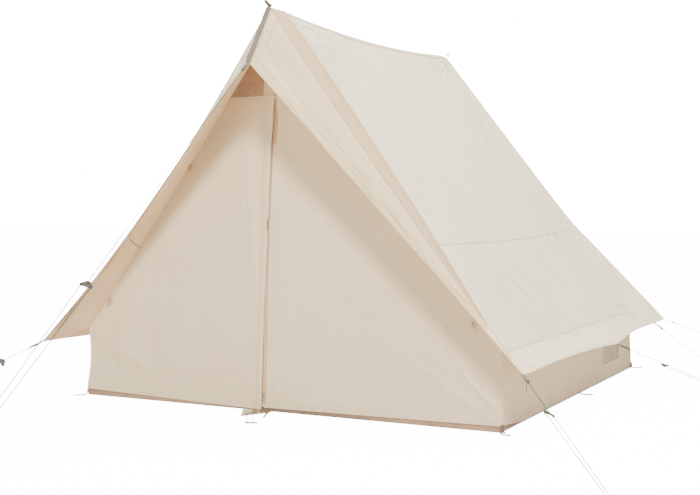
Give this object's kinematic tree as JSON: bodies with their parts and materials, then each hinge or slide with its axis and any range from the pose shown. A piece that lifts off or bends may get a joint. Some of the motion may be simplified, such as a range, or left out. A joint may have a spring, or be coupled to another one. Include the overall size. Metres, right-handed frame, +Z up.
{
  "type": "tent",
  "caption": "Family ridge tent in cream canvas with hooded gables, kinked eaves, zipped door leaves, side windows, pole frame inside and guy lines with sliders.",
  "frame": {"origin": "On the ground, below the middle of the canvas, tabs included and guy lines left out.", "axes": "Y runs along the ridge with the entrance towards -Y, X runs across the tent, Z is up."},
  "size_m": [3.8021, 5.2457, 2.0008],
  "materials": {
    "canvas": "woven cotton canvas, matt cream",
    "groundsheet": "coated cloth, tan brown",
    "netting": "fine insect netting",
    "webbing": "taupe woven webbing",
    "cord": "braided cord",
    "plastic": "moulded, dark taupe",
    "zip": "woven zip tape",
    "zip_metal": "dull zip metal",
    "pole": "drawn tube"
  },
  "bodies": {
    "tent": {"apex_joint_front": "plastic", "apex_joint_rear": "plastic", "front_corner_tab_left": "webbing", "front_corner_tab_right": "webbing", "front_guy_line": "cord", "front_guy_loop": "cord", "front_hood_left": "canvas", "front_hood_right": "canvas", "front_left_guy_line": "cord", "front_left_guy_loop": "cord", "front_panel_left": "canvas", "front_panel_right": "canvas", "front_pole_left": "pole", "front_pole_right": "pole", "front_right_guy_line": "cord", "front_right_guy_loop": "cord", "front_tip_tab": "webbing", "groundsheet": "groundsheet", "middle_tab_left": "webbing", "middle_tab_right": "webbing", "peg_loop_door": "webbing", "peg_loop_front_left": "webbing", "peg_loop_front_right": "webbing", "peg_loop_rear_left": "webbing", "peg_loop_rear_right": "webbing", "peg_loop_side_left": "webbing", "peg_loop_side_right": "webbing", "rear_corner_guy": "cord", "rear_corner_tab_left": "webbing", "rear_corner_tab_right": "webbing", "rear_hood_left": "canvas", "rear_hood_right": "canvas", "rear_pole_left": "pole", "rear_pole_right": "pole", "rear_side_guy": "cord", "rear_side_tab_left": "webbing", "rear_side_tab_right": "webbing", "rear_tip_tab": "webbing", "rear_wall": "canvas", "ridge_pole_front": "pole", "ridge_pole_rear": "pole", "right_side_guy_line": "cord", "right_side_guy_loop": "cord", "roof_left": "canvas", "roof_right": "canvas", "side_wall_left": "canvas", "side_wall_right": "canvas", "vent_mesh": "netting", "window_mesh_left": "netting", "window_mesh_right": "netting"},
    "door_left": {"door_left": "canvas", "zip_tape_left": "zip"},
    "door_right": {"door_right": "canvas", "zip_tape_right": "zip"},
    "zip_slider": {"zip_slider": "zip_metal"},
    "front_guy_slider": {"front_guy_slider": "plastic"},
    "front_right_guy_slider": {"front_right_guy_slider": "plastic"},
    "front_left_guy_slider": {"front_left_guy_slider": "plastic"},
    "right_side_guy_slider": {"right_side_guy_slider": "plastic"}
  },
  "joints": [
    {"name": "door_right_swing", "type": "hinge", "parent": "tent", "child": "door_right", "pos_m": [1.18, -1.15928, 0.032], "axis": [-0.6279, 0.0296, 0.7777], "range_deg": [0, 100]},
    {"name": "door_left_swing", "type": "hinge", "parent": "tent", "child": "door_left", "pos_m": [-1.18, -1.15928, 0.032], "axis": [-0.5772, -0.031, -0.816], "range_deg": [0, 100]},
    {"name": "zip_slide", "type": "slide", "parent": "door_right", "child": "zip_slider", "axis": [0, 0.038, 0.9993], "range_m": [0, 1.45]},
    {"name": "front_guy_adjust", "type": "slide", "parent": "tent", "child": "front_guy_slider", "axis": [0, 0.7665, 0.6422], "range_m": [0, 0.4]},
    {"name": "front_right_guy_adjust", "type": "slide", "parent": "tent", "child": "front_right_guy_slider", "axis": [-0.5817, 0.751, 0.3124], "range_m": [0, 0.2]},
    {"name": "front_left_guy_adjust", "type": "slide", "parent": "tent", "child": "front_left_guy_slider", "axis": [0.3683, 0.8601, 0.3529], "range_m": [0, 0.12]},
    {"name": "right_side_guy_adjust", "type": "slide", "parent": "tent", "child": "right_side_guy_slider", "axis": [-0.9318, 0.1945, 0.3063], "range_m": [0, 0.15]}
  ]
}
